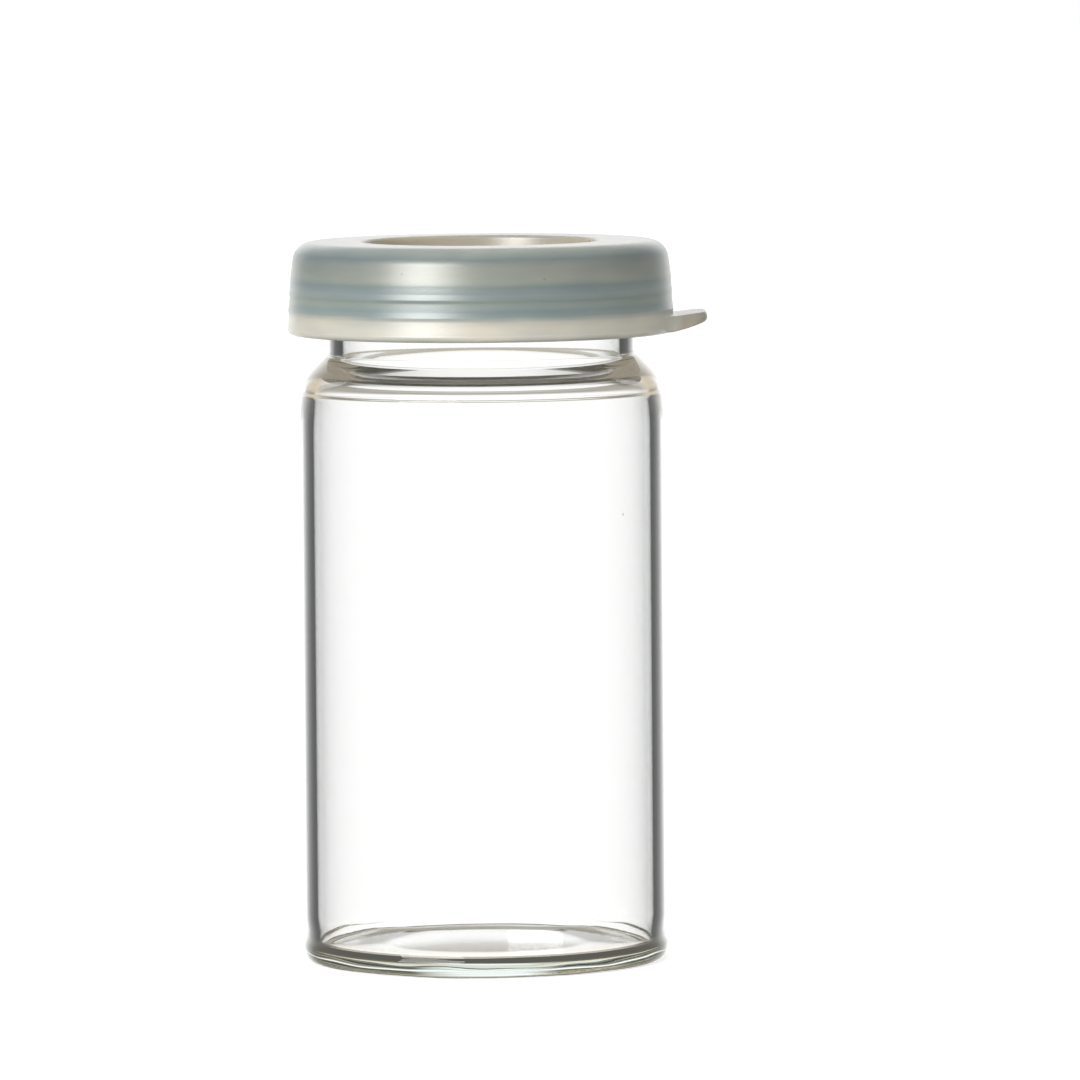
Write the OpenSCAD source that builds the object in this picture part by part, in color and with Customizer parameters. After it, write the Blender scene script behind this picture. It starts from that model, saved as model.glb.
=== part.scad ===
/* [Vial body] */
// Outside diameter of the straight body
body_d = 26; // [26:0.5:40]
// Height of the glass, from the surface it stands on to the top of the rim
vial_h = 50; // [40:1:110]
// Thickness of the drawn tube's wall
glass_wall = 0.95; // [0.8:0.05:1.2]
// Thickness of the floor where it meets the wall
floor_t = 1.1; // [0.9:0.1:2]
// How far the middle of the base is pushed up
punt_h = 0.5; // [0.2:0.1:0.8]

/* [Vial neck] */
// Outside diameter of the neck
neck_d = 22.1; // [18:0.1:23]
// Thickness of the neck's wall
neck_wall = 1.15; // [0.9:0.05:1.4]
// How far the rolled rim stands out of the neck
rim_out = 0.95; // [0.6:0.05:1.2]
// Height of the rolled rim
rim_h = 3; // [2.6:0.1:3.2]
// Height from the top of the shoulder to the top of the rim
neck_h = 6.65; // [6.4:0.05:9]

/* [Cap] */
// Height of the whole cap
cap_h = 6.6; // [6.2:0.1:6.9]
// Thickness of the cap over the rim
cap_top_t = 1.4; // [1:0.1:1.6]
// Thickness of the skirt at its lower edge
skirt_t = 1.3; // [1:0.1:1.8]
// Slope of the skirt from the vertical, in degrees
skirt_draft = 3.5; // [1:0.5:4]
// Radius of the rounded top edge
cap_edge_r = 1.4; // [0.6:0.1:1.5]
// How deep the hollow plug reaches below the underside of the top
plug_depth = 4.4; // [3.5:0.1:5]
// Thickness of the plug's wall and floor
plug_t = 1; // [0.8:0.1:1.3]
// How far each of the two rings stands out of the skirt
ring_relief = 0.04; // [0.03:0.01:0.2]

/* [Lift tab] */
// How far the tab reaches past the skirt
tab_reach = 2.3; // [2:0.1:5]
// Width of the tab
tab_w = 6.6; // [5:0.2:9]
// Thickness of the tab at its root
tab_root_t = 1.25; // [1:0.05:1.6]
// Thickness of the tab at its tip
tab_tip_t = 0.75; // [0.65:0.05:0.9]
// Slope of the tab's upper face, in degrees
tab_rise = 7; // [2:1:15]

/* [Hidden] */
$fn = 48;
round_steps = 5;
soft_steps = 3;
fillet_steps = 2;
dome_steps = 3;
waist_steps = 4;

// Gaps that let the cap lift straight off
seat_gap = 0.05;
snap_gap = 0.08;
seal_gap = 0.05;
plug_gap = 0.15;

// Radii of the glass
body_r = body_d / 2;
bore_r = body_r - glass_wall;
neck_r = neck_d / 2;
mouth_r = neck_r - neck_wall;
rim_r = neck_r + rim_out;

// Base: a flat foot ring, a heel that bulges a little and a shallow waist above it
heel_bulge = 0.04;
heel_rx = 0.44;
heel_h = 1;
foot_r = body_r + heel_bulge - heel_rx;
foot_w = 1.1;
waist_in = 0.13;
waist_z = 1.7;
waist_end_z = 3.4;

// Push-up in the middle of the base, domed floor and rounded inner corner
punt_share = 0.57;
punt_r = body_r * punt_share;
punt_edge_share = 0.55;
punt_edge_h = punt_h * punt_edge_share;
floor_rise = 0.4;
floor_edge_rise = 0.15;
corner_rx = 1;
corner_rz = 0.6;
waist_low_z = max(waist_z, floor_t + corner_rz);

// Shoulder, from the neck down: a straight slope, a tight round and a long soft round
slope_angle = 45;
soft_angle = 8;
shoulder_r = 3;
soft_r = 17.4;
shoulder_z = vial_h - neck_h;
slope_r = body_r - soft_r * (1 - cos(soft_angle)) - shoulder_r * (cos(soft_angle) - cos(slope_angle));
round_r = slope_r - shoulder_r * cos(slope_angle);
round_z = shoulder_z - (slope_r - neck_r) - shoulder_r * sin(slope_angle);
soft_z = round_z + (shoulder_r - soft_r) * sin(soft_angle);
neck_fillet = 0.3;

// Inside of the shoulder: flatter than the slope over it, so the glass is thickest at the foot of the neck
inner_angle = 53.5;
inner_step = bore_r - mouth_r;
inner_rounds = min(3, (inner_step - 0.1) / (1 - cos(inner_angle)));
inner_corner_r = 0.6 * inner_rounds;
throat_fillet = 0.4 * inner_rounds;
bore_top_z = round_z;
inner_run = inner_step - inner_rounds * (1 - cos(inner_angle));
throat_z = bore_top_z + inner_rounds * sin(inner_angle) + inner_run / tan(inner_angle);

// Rolled rim: a curved underside, a straight band and a fire-polished top
rim_under = 0.9;
rim_outer_round = 0.8;
rim_inner_round = 0.7;
rim_low_z = vial_h - rim_h;

// Skirt of the cap, with heights above its lower edge
cap_z = vial_h + seat_gap + cap_top_t - cap_h;
ceiling_z = cap_h - cap_top_t;
snap_catch = 0.34;
snap_r = rim_r + snap_gap;
skirt_in_r = snap_r + snap_catch;
lead_in_flare = 0.1;
lead_in_r = skirt_in_r + lead_in_flare;
skirt_r = lead_in_r + skirt_t;
lip_round = 0.45;
lip_inner_round = 0.2;
edge_z = cap_h - cap_edge_r;
snap_h = 1.1;
snap_drop = 0.4;
snap_z = ceiling_z - seat_gap - rim_h - snap_drop;
ring_w = 0.55;
ring_heights = [1.88, 3.14];
groove_round = 0.35;

// Hollow plug of the cap, tapered below a seal bead
plug_z = ceiling_z - plug_depth;
plug_r = mouth_r - plug_gap;
plug_taper = 0.3;
plug_round = 0.7;
seal_r = mouth_r - seal_gap;
seal_drop = 1.6;
seal_z = ceiling_z - seal_drop;
seal_h = 1;

// Recess inside the plug, with a gate mark on its floor
recess_inset = 0.35;
recess_r = plug_r - plug_t - recess_inset;
recess_taper = 0.25;
recess_z = plug_z + plug_t;
recess_round = 0.6;
recess_lip_round = 0.25;
gate_r = 0.9;
gate_h = 0.25;

// Lift tab, with flares that run into the skirt and an underside that sweeps up
root_depth = 0.3;
tab_root_r = lead_in_r + root_depth;
tab_tip_x = skirt_r + tab_reach;
tab_corner_r = 1.5;
tab_flare_r = 1.6;
tab_tip_round = 0.3;
tab_low_z = 0.1;
tab_sweep_power = 1.25;
tab_sweep_x = skirt_r - 0.6 * lip_round;
flare_y = tab_w / 2 + tab_flare_r;
flare_x = sqrt(pow(skirt_r + tab_flare_r, 2) - pow(flare_y, 2));
flare_angle = atan(flare_y / flare_x);

vial_glass = [0.82, 0.92, 0.9, 0.4];
cap_plastic = [0.8, 0.84, 0.83, 0.9];

// Points along an arc of an ellipse, from angle a0 to angle a1
function oval(x, z, rx, rz, a0, a1, steps = round_steps) =
    [for (i = [0:steps]) let (a = a0 + (a1 - a0) * i / steps) [x + rx * cos(a), z + rz * sin(a)]];

// Points along a circular arc, from angle a0 to angle a1
function arc(x, z, r, a0, a1, steps = round_steps) = oval(x, z, r, r, a0, a1, steps);

// Points that sway along half a cosine wave, after the first point
function sway(r0, z0, r1, z1, steps = soft_steps) =
    [for (i = [1:steps]) let (t = i / steps) [r0 + (r1 - r0) * (1 - cos(180 * t)) / 2, z0 + (z1 - z0) * t]];

// Points of a shallow dome, from the axis out to its edge
function dome(edge_r, middle_z, edge_z, steps = dome_steps) =
    [for (i = [0:steps]) let (t = i / steps) [edge_r * t, middle_z + (edge_z - middle_z) * t * t]];

// Points over a rounded bead, going up: the radius below it, at its crest and above it
function bead(below_r, crest_r, above_r, z, h) =
    [for (t = [-1:0.5:1]) [(t < 0 ? below_r : above_r) * t * t + crest_r * (1 - t * t), z + t * h / 2]];

// The same points in the opposite order
function backwards(points) = [for (i = [len(points) - 1:-1:0]) points[i]];

// The points after the first, for a stretch that starts where the last one ends
function rest(points) = [for (i = [1:len(points) - 1]) points[i]];

// Depth of the waist at a height above its deepest ring
function waist_at(z) = waist_in * (1 + cos(180 * (z - waist_z) / (waist_end_z - waist_z))) / 2;

// Radius of the skirt's outside at a height above the cap's lower edge
function skirt_at(z) = skirt_r - z * tan(skirt_draft);

// Underside of the base, then the heel and the waist, going up
function base_outside() = concat(
    dome(punt_r, punt_h, punt_edge_h),
    [[foot_r - foot_w, 0]],
    oval(foot_r, heel_h, heel_rx, heel_h, -90, 0),
    sway(body_r + heel_bulge, heel_h, body_r - waist_in, waist_z),
    sway(body_r - waist_in, waist_z, body_r, waist_end_z)
);

// Shoulder, from the straight body up to the foot of the neck
function shoulder_outside() = concat(
    arc(body_r - soft_r, soft_z, soft_r, 0, soft_angle, soft_steps),
    rest(arc(round_r, round_z, shoulder_r, soft_angle, slope_angle)),
    arc(neck_r + neck_fillet, shoulder_z + neck_fillet * tan(slope_angle / 2), neck_fillet,
        180 + slope_angle, 180, fillet_steps)
);

// Rolled rim, going up its outside and over the top into the mouth
function rim_section() = concat(
    [[neck_r, rim_low_z - rim_under]],
    sway(neck_r, rim_low_z - rim_under, rim_r, rim_low_z),
    arc(rim_r - rim_outer_round, vial_h - rim_outer_round, rim_outer_round, 0, 90),
    arc(mouth_r + rim_inner_round, vial_h - rim_inner_round, rim_inner_round, 90, 180)
);

// Inside of the neck and shoulder, going down to the straight bore
function shoulder_inside() = concat(
    arc(mouth_r + throat_fillet, throat_z, throat_fillet, 180, 180 + inner_angle, soft_steps),
    arc(bore_r - inner_corner_r, bore_top_z, inner_corner_r, inner_angle, 0, soft_steps)
);

// Lower end of the bore, which follows the waist at an even thickness, going down
function waist_inside() = [
    for (i = [0:waist_steps])
        let (z = waist_end_z + (waist_low_z - waist_end_z) * i / waist_steps)
            [bore_r - waist_at(z), z]
];

// Rounded inner corner and the top of the floor, ending on the axis
function base_inside() = concat(
    oval(bore_r - corner_rx, floor_t + corner_rz, corner_rx - waist_at(waist_low_z), corner_rz, 0, -90),
    backwards(dome(punt_r, floor_t + floor_rise, floor_t + floor_edge_rise))
);

// Glass vial, formed from drawn tube
module glass_vial() {
    color(vial_glass)
        rotate_extrude()
            polygon(concat(
                base_outside(), shoulder_outside(), rim_section(),
                shoulder_inside(), waist_inside(), base_inside()
            ));
}

// Outside of the cap, from the lower edge over the top to the lip of the recess
function cap_outside() = concat(
    arc(skirt_r - lip_round, lip_round, lip_round, -90, 0, fillet_steps),
    [for (z = ring_heights) each
        bead(skirt_at(z - ring_w / 2), skirt_at(z) + ring_relief, skirt_at(z + ring_w / 2), z, ring_w)],
    arc(skirt_at(edge_z) - cap_edge_r, edge_z, cap_edge_r, skirt_draft, 90),
    arc(recess_r + recess_lip_round, cap_h - recess_lip_round, recess_lip_round, 90, 180, fillet_steps)
);

// Recess in the top of the cap, going down to the axis
function recess_section() = concat(
    arc(recess_r - recess_taper - recess_round, recess_z + recess_round, recess_round, 0, -90),
    [[0, recess_z]]
);

// Plug, from the axis up to the underside of the top
function plug_outside() = concat(
    [[0, plug_z]],
    arc(plug_r - plug_taper - plug_round, plug_z + plug_round, plug_round, -90, 0, soft_steps),
    bead(plug_r, seal_r, plug_r, seal_z, seal_h),
    arc(plug_r + groove_round, ceiling_z - groove_round, groove_round, 180, 90, fillet_steps)
);

// Inside of the skirt, going down over the snap bead to the lower edge
function skirt_inside() = concat(
    arc(skirt_in_r - groove_round, ceiling_z - groove_round, groove_round, 90, 0, fillet_steps),
    backwards(bead(lead_in_r, snap_r, skirt_in_r, snap_z, snap_h)),
    arc(lead_in_r + lip_inner_round, lip_inner_round, lip_inner_round, 180, 270, fillet_steps)
);

// Underside of the tab, sweeping up from the skirt to the tip
function tab_underside(tip_x, tip_z) = [
    for (t = [0:0.25:1])
        [tab_sweep_x + (tip_x - tab_sweep_x) * t, tab_low_z + (tip_z - tab_low_z) * pow(t, tab_sweep_power)]
];

// Plan of one side of the tab, from the skirt out to the middle of its tip
function tab_half_plan() = concat(
    arc(flare_x, flare_y, tab_flare_r, 180 + flare_angle, 270),
    arc(tab_tip_x - tab_corner_r, tab_w / 2 - tab_corner_r, tab_corner_r, 90, 0)
);

// Plan of the whole tab, with its root inside the thickness of the skirt
module tab_plan() {
    near_side = tab_half_plan();
    root_angle = asin(near_side[0].y / tab_root_r);
    polygon(concat(
        near_side,
        [for (p = backwards(near_side)) [p.x, -p.y]],
        arc(0, 0, tab_root_r, -root_angle, root_angle)
    ));
}

// Side view of the tab: the underside sweeps up to a thinner, rounded tip
module tab_side() {
    tip_x = tab_tip_x - tab_tip_round;
    top_z = tab_root_t + tab_reach * tan(tab_rise);
    low_z = top_z - tab_tip_t;
    polygon(concat(
        [[0, tab_low_z]],
        tab_underside(tip_x, low_z),
        arc(tip_x, low_z + tab_tip_round, tab_tip_round, -60, 0, soft_steps),
        arc(tip_x, top_z - tab_tip_round, tab_tip_round, 0, 90, soft_steps),
        [[skirt_r, tab_root_t]],
        [[0, tab_root_t]]
    ));
}

// Lift tab on the cap's lower edge, pointing along +X
module lift_tab() {
    intersection() {
        linear_extrude(cap_h)
            tab_plan();
        rotate([90, 0, 0])
            linear_extrude(2 * flare_y, center = true)
                tab_side();
    }
}

// Raised gate mark in the middle of the recess
module gate_mark() {
    translate([0, 0, recess_z - plug_t / 2])
        cylinder(r = gate_r, h = plug_t / 2 + gate_h);
}

// Snap cap, moulded in one piece: skirt, snap bead, hollow plug and lift tab
module snap_cap() {
    color(cap_plastic)
        translate([0, 0, cap_z]) {
            rotate_extrude()
                polygon(concat(cap_outside(), recess_section(), plug_outside(), skirt_inside()));
            gate_mark();
            lift_tab();
        }
}

glass_vial();
snap_cap();
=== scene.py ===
"""Looks of the glass sample vial: the clear glass body, its milky snap cap and the studio round them.

Lengths in the classes are millimetres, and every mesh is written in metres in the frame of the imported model.
"""

import logging
from dataclasses import dataclass, field
from enum import Enum

import bpy
import numpy as np
from mathutils import Euler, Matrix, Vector


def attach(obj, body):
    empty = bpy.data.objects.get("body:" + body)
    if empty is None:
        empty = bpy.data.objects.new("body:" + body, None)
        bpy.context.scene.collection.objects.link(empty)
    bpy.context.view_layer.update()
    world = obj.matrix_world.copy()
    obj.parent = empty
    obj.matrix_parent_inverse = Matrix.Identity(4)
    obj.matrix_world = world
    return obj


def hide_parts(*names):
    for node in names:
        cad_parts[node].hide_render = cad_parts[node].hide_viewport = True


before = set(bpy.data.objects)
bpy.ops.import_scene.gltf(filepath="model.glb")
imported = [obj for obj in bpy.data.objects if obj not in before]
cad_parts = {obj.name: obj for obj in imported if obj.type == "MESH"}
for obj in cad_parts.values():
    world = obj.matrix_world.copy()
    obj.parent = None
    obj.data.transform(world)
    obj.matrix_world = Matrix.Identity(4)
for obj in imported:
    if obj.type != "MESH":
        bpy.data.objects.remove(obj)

MM = 0.001
log = logging.getLogger("vial")

Colour = tuple[float, float, float]
Stops = tuple[tuple[float, Colour], ...]
Tree = bpy.types.NodeTree
Node = bpy.types.Node
Socket = bpy.types.NodeSocket
Thing = bpy.types.Object


class Body(Enum):
    """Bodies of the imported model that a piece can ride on."""

    VIAL = "vial"
    CAP = "cap"


class Slot(Enum):
    """Material slots of the record."""

    GLASS = "clear_glass"
    PLASTIC = "milky_plastic"


class CadNode(Enum):
    """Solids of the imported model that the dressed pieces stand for."""

    VIAL = "glass_vial"
    CAP = "snap_cap"


# ---------------------------------------------------------------- profiles


def oval(r: float, z: float, rx: float, rz: float, start: float, end: float, steps: int) -> np.ndarray:
    """Arc of an ellipse: (r + rx cos a, z + rz sin a), with a going evenly from start to end.

    Args:
        r: Radius of the ellipse's centre.
        z: Height of the ellipse's centre.
        rx: Half axis along the radius.
        rz: Half axis along the height.
        start: First angle in degrees.
        end: Last angle in degrees.
        steps: Number of steps.

    Returns:
        Points as rows of radius and height.
    """
    a = np.radians(np.linspace(start, end, steps + 1))
    return np.column_stack((r + rx * np.cos(a), z + rz * np.sin(a)))


def arc(r: float, z: float, radius: float, start: float, end: float, steps: int) -> np.ndarray:
    """Arc of a circle round (r, z), as an ellipse with two equal half axes.

    Args:
        r: Radius of the centre.
        z: Height of the centre.
        radius: Radius of the arc.
        start: First angle in degrees.
        end: Last angle in degrees.
        steps: Number of steps.

    Returns:
        Points as rows of radius and height.
    """
    return oval(r, z, radius, radius, start, end, steps)


def sway(r0: float, z0: float, r1: float, z1: float, steps: int) -> np.ndarray:
    """Half a cosine wave: r = r0 + (r1 - r0)(1 - cos(pi t)) / 2 while z goes evenly from z0 to z1.

    Args:
        r0: First radius.
        z0: First height.
        r1: Last radius.
        z1: Last height.
        steps: Number of steps.

    Returns:
        Points as rows of radius and height.
    """
    t = np.linspace(0.0, 1.0, steps + 1)
    return np.column_stack((r0 + (r1 - r0) * (1 - np.cos(np.pi * t)) / 2, z0 + (z1 - z0) * t))


def straight(r0: float, z0: float, r1: float, z1: float, steps: int) -> np.ndarray:
    """Straight stretch with its points drawn together at both ends: share (1 - cos(pi t)) / 2 of the way.

    Args:
        r0: First radius.
        z0: First height.
        r1: Last radius.
        z1: Last height.
        steps: Number of steps.

    Returns:
        Points as rows of radius and height.
    """
    share = (1 - np.cos(np.pi * np.linspace(0.0, 1.0, steps + 1))) / 2
    return np.column_stack((r0 + (r1 - r0) * share, z0 + (z1 - z0) * share))


def dome(edge_r: float, middle_z: float, edge_z: float, steps: int) -> np.ndarray:
    """Shallow dome from the axis to its edge: z = middle + (edge - middle) t squared at radius edge_r t.

    Args:
        edge_r: Radius of the edge.
        middle_z: Height on the axis.
        edge_z: Height at the edge.
        steps: Number of steps.

    Returns:
        Points as rows of radius and height.
    """
    t = np.linspace(0.0, 1.0, steps + 1)
    return np.column_stack((edge_r * t, middle_z + (edge_z - middle_z) * t * t))


def bead(below: float, crest: float, above: float, z: float, height: float, steps: int) -> np.ndarray:
    """Rounded bead going up: the radius is side t squared + crest (1 - t squared), with t from -1 to 1.

    Args:
        below: Radius just below the bead.
        crest: Radius at its crest.
        above: Radius just above the bead.
        z: Height of the crest.
        height: Height of the whole bead.
        steps: Number of steps.

    Returns:
        Points as rows of radius and height.
    """
    t = np.linspace(-1.0, 1.0, steps + 1)
    side = np.where(t < 0, below, above)
    return np.column_stack((side * t * t + crest * (1 - t * t), z + t * height / 2))


def joined(*runs: np.ndarray) -> np.ndarray:
    """Joins runs of points end to end, and leaves out each point that lies on the one before it.

    Args:
        *runs: Runs of points, in order.

    Returns:
        One run of points.
    """
    points = np.vstack(runs)
    apart = np.linalg.norm(np.diff(points, axis=0), axis=1) > 1e-4
    return points[np.concatenate(([True], apart))]


# ---------------------------------------------------------------- meshes


def turned(section: np.ndarray, angles: np.ndarray) -> np.ndarray:
    """Turns a section about the axis: (r cos a, r sin a, z) for every point and every angle.

    Args:
        section: Rows of radius and height.
        angles: Angles in radians.

    Returns:
        Grid of points, with one row for each point of the section and one column for each angle.
    """
    r, z = section[:, :1], section[:, 1:]
    return np.stack((r * np.cos(angles), r * np.sin(angles), z + 0 * angles), axis=-1)


def closed_mesh(name: str, grid: np.ndarray) -> Thing:
    """Makes a closed mesh from a grid whose columns go round the axis and whose end rows lie on it.

    The face between rows i, i + 1 and columns j, j + 1 runs (i, j), (i, j + 1), (i + 1, j + 1), (i + 1, j), so it
    faces outwards where the rows climb the outside. Each end row becomes one point with a fan of triangles.

    Args:
        name: Name of the object.
        grid: Points in millimetres, rows by columns by three.

    Returns:
        The new object, at the origin, smooth shaded.
    """
    rows, columns = grid.shape[:2]
    middle = grid[1:-1].reshape(-1, 3)
    points = np.vstack((middle, grid[0, :1], grid[-1, :1])) * MM
    first, last = len(middle), len(middle) + 1
    here = np.arange(columns)
    ahead = np.roll(here, -1)
    low = (np.arange(rows - 3) * columns)[:, None]
    quads = np.stack((low + here, low + ahead, low + columns + ahead, low + columns + here), axis=-1).reshape(-1, 4)
    top = (rows - 3) * columns
    start_fan = np.column_stack((np.full(columns, first), ahead, here))
    end_fan = np.column_stack((top + here, top + ahead, np.full(columns, last)))
    mesh = bpy.data.meshes.new(name)
    mesh.from_pydata(points.tolist(), [], quads.tolist() + start_fan.tolist() + end_fan.tolist())
    mesh.polygons.foreach_set("use_smooth", np.ones(len(mesh.polygons), bool))
    mesh.update()
    made = bpy.data.objects.new(name, mesh)
    bpy.context.scene.collection.objects.link(made)
    return made


# ---------------------------------------------------------------- shader nodes


def fill(tree: Tree, node: Node, values: dict[str | int, object]) -> Node:
    """Sets or links the inputs of a node.

    Args:
        tree: The node tree.
        node: The node.
        values: Socket, colour or number of each input, by its name or its place.

    Returns:
        The same node.
    """
    for label, given in values.items():
        socket = node.inputs[label]
        if isinstance(given, Socket):
            tree.links.new(given, socket)
        elif isinstance(given, tuple):
            socket.default_value = (*given, 1.0)[:len(socket.default_value)]
        else:
            socket.default_value = given
    return node


def add(tree: Tree, kind: str, values: dict[str | int, object]) -> Node:
    """Adds a node of the named kind to a tree and fills its inputs."""
    return fill(tree, tree.nodes.new(kind), values)


def ramp(tree: Tree, stops: Stops, value: Socket) -> Socket:
    """Adds a colour ramp to a node tree.

    Args:
        tree: The node tree.
        stops: Positions from 0 to 1, each with its colour.
        value: Socket that says where on the ramp to read.

    Returns:
        The ramp's colour socket.
    """
    node = add(tree, "ShaderNodeValToRGB", {"Fac": value})
    elements = node.color_ramp.elements
    while len(elements) < len(stops):
        elements.new(0.5)
    for element, (place, colour) in zip(elements, stops):
        element.position = place
        element.color = (*colour, 1.0)
    return node.outputs["Color"]


def mixed(tree: Tree, share: object, first: object, second: object, blend: str = "MIX") -> Socket:
    """Adds a colour mix to a node tree.

    Args:
        tree: The node tree.
        share: Socket or number that says how much of the second colour is taken.
        first: Socket or colour.
        second: Socket or colour.
        blend: How the two are mixed.

    Returns:
        The mixed colour's socket.
    """
    node = tree.nodes.new("ShaderNodeMix")
    node.data_type = "RGBA"
    node.blend_type = blend
    return fill(tree, node, {0: share, 6: first, 7: second}).outputs[2]


def sums(tree: Tree, operation: str, *values: object) -> Socket:
    """Adds a Math node to a node tree.

    Args:
        tree: The node tree.
        operation: Name of the operation.
        *values: Sockets or numbers, in order.

    Returns:
        The result's socket.
    """
    node = tree.nodes.new("ShaderNodeMath")
    node.operation = operation
    return fill(tree, node, dict(enumerate(values))).outputs[0]


def spread(tree: Tree, value: Socket, low: float, high: float, to_low: float = 0.0,
           to_high: float = 1.0) -> Socket:
    """Adds a clamped linear map from low..high to to_low..to_high.

    Args:
        tree: The node tree.
        value: Socket that is mapped.
        low: Value that gives to_low.
        high: Value that gives to_high.
        to_low: Result at low.
        to_high: Result at high.

    Returns:
        The result's socket.
    """
    return add(tree, "ShaderNodeMapRange", {"Value": value, "From Min": low, "From Max": high,
                                            "To Min": to_low, "To Max": to_high}).outputs["Result"]


def noise(tree: Tree, place: Socket, scale: object, detail: float, stretch: Colour = (1.0, 1.0, 1.0)) -> Socket:
    """Adds a noise texture that reads a place, which a Mapping node may stretch.

    Args:
        tree: The node tree.
        place: Socket with the place.
        scale: Waves in a metre, as a number or a socket.
        detail: Octaves.
        stretch: Factor along each axis.

    Returns:
        The noise's value socket.
    """
    mapping = add(tree, "ShaderNodeMapping", {"Vector": place, "Scale": stretch})
    return add(tree, "ShaderNodeTexNoise", {"Vector": mapping.outputs["Vector"], "Scale": scale,
                                            "Detail": detail}).outputs["Fac"]


def bumped(tree: Tree, height: Socket, distance: float) -> Socket:
    """Adds a bump of a distance in metres and returns its Normal socket."""
    return add(tree, "ShaderNodeBump", {"Height": height, "Distance": distance}).outputs["Normal"]


def parted(tree: Tree, place: Socket) -> bpy.types.NodeOutputs:
    """Splits a place and returns the sockets of its X, Y and Z."""
    return add(tree, "ShaderNodeSeparateXYZ", {0: place}).outputs


def object_place(tree: Tree) -> Socket:
    """Adds a Texture Coordinate node and returns its Object socket."""
    return tree.nodes.new("ShaderNodeTexCoord").outputs["Object"]


def new_group(name: str, inputs: dict[str, tuple[str, object]],
              outputs: dict[str, str]) -> tuple[Tree, Node, Node]:
    """Starts a shader node group with named inputs and outputs.

    Args:
        name: Name of the group.
        inputs: Socket type and default value (or None) of each input.
        outputs: Socket type of each output.

    Returns:
        The group's tree, its input node and its output node.
    """
    tree = bpy.data.node_groups.new(name, "ShaderNodeTree")
    for label, (kind, value) in inputs.items():
        made = tree.interface.new_socket(label, in_out="INPUT", socket_type=kind)
        if value is not None:
            made.default_value = value
    for label, kind in outputs.items():
        tree.interface.new_socket(label, in_out="OUTPUT", socket_type=kind)
    return tree, tree.nodes.new("NodeGroupInput"), tree.nodes.new("NodeGroupOutput")


def placed(tree: Tree, group: Tree, values: dict[str | int, object]) -> bpy.types.NodeOutputs:
    """Places a node group in a tree and fills its inputs.

    Args:
        tree: The node tree.
        group: The group.
        values: Socket, colour or number of each named input.

    Returns:
        The group's output sockets.
    """
    node = tree.nodes.new("ShaderNodeGroup")
    node.node_tree = group
    return fill(tree, node, values).outputs


def speck_group() -> Tree:
    """Builds the group of sparse specks, such as dust or small seeds.

    A Voronoi cell holds a speck where its own random number is under Share, and the speck is the part of the cell
    within Size of the cell's point, measured in cells.

    Returns:
        The group, with inputs Place, Cells, Size and Share and the output Mask.
    """
    tree, given, result = new_group(
        "specks",
        {"Place": ("NodeSocketVector", None), "Cells": ("NodeSocketFloat", 300.0),
         "Size": ("NodeSocketFloat", 0.08), "Share": ("NodeSocketFloat", 0.04)},
        {"Mask": "NodeSocketFloat"},
    )
    place, cells, size, share = given.outputs[:4]
    cell = add(tree, "ShaderNodeTexVoronoi", {"Vector": place, "Scale": cells}).outputs
    chosen = add(tree, "ShaderNodeSeparateColor", {"Color": cell["Color"]}).outputs[0]
    mask = sums(tree, "MULTIPLY", sums(tree, "LESS_THAN", chosen, share),
                sums(tree, "LESS_THAN", cell["Distance"], size))
    fill(tree, result, {"Mask": mask})
    return tree


def grain_group() -> Tree:
    """Builds the group of fine surface grain over slow patches.

    Height is fine noise with slow noise added, and Patches is the slow noise alone.

    Returns:
        The group, with inputs Place, Fine and Slow (waves in a metre) and the outputs Height and Patches.
    """
    tree, given, result = new_group(
        "grain",
        {"Place": ("NodeSocketVector", None), "Fine": ("NodeSocketFloat", 6000.0),
         "Slow": ("NodeSocketFloat", 150.0)},
        {"Height": "NodeSocketFloat", "Patches": "NodeSocketFloat"},
    )
    place, fine_waves, slow_waves = given.outputs[:3]
    fine, slow = noise(tree, place, fine_waves, 3.0), noise(tree, place, slow_waves, 4.0)
    fill(tree, result, {"Height": sums(tree, "MULTIPLY_ADD", slow, 2.0, fine), "Patches": slow})
    return tree


def backdrop_group() -> Tree:
    """Builds the group that gives the backdrop's colour for each kind of ray.

    The colour starts as Soft. A ray that has passed through glass takes Seen, one that was mirrored takes Mirrored,
    and one that was mirrored inside glass takes Trapped. A ray from a matt surface goes back to Soft, and one from
    the camera takes Clear.

    Returns:
        The group, with the ray's facts and the five colours as inputs and the output Colour.
    """
    tree, given, result = new_group(
        "backdrop",
        {"Camera": ("NodeSocketFloat", 0.0), "Diffuse": ("NodeSocketFloat", 0.0),
         "Glossy": ("NodeSocketFloat", 0.0), "Through": ("NodeSocketFloat", 0.0),
         "Clear": ("NodeSocketColor", None), "Seen": ("NodeSocketColor", None),
         "Mirrored": ("NodeSocketColor", None), "Trapped": ("NodeSocketColor", None),
         "Soft": ("NodeSocketColor", None)},
        {"Colour": "NodeSocketColor"},
    )
    facts = given.outputs
    mirrored, through, matt = (sums(tree, "MINIMUM", facts[kind], 1.0) for kind in ("Glossy", "Through", "Diffuse"))
    colour = mixed(tree, through, facts["Soft"], facts["Seen"])
    colour = mixed(tree, mirrored, colour, facts["Mirrored"])
    colour = mixed(tree, sums(tree, "MULTIPLY", mirrored, through), colour, facts["Trapped"])
    colour = mixed(tree, matt, colour, facts["Soft"])
    fill(tree, result, {"Colour": mixed(tree, facts["Camera"], colour, facts["Clear"])})
    return tree


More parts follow.
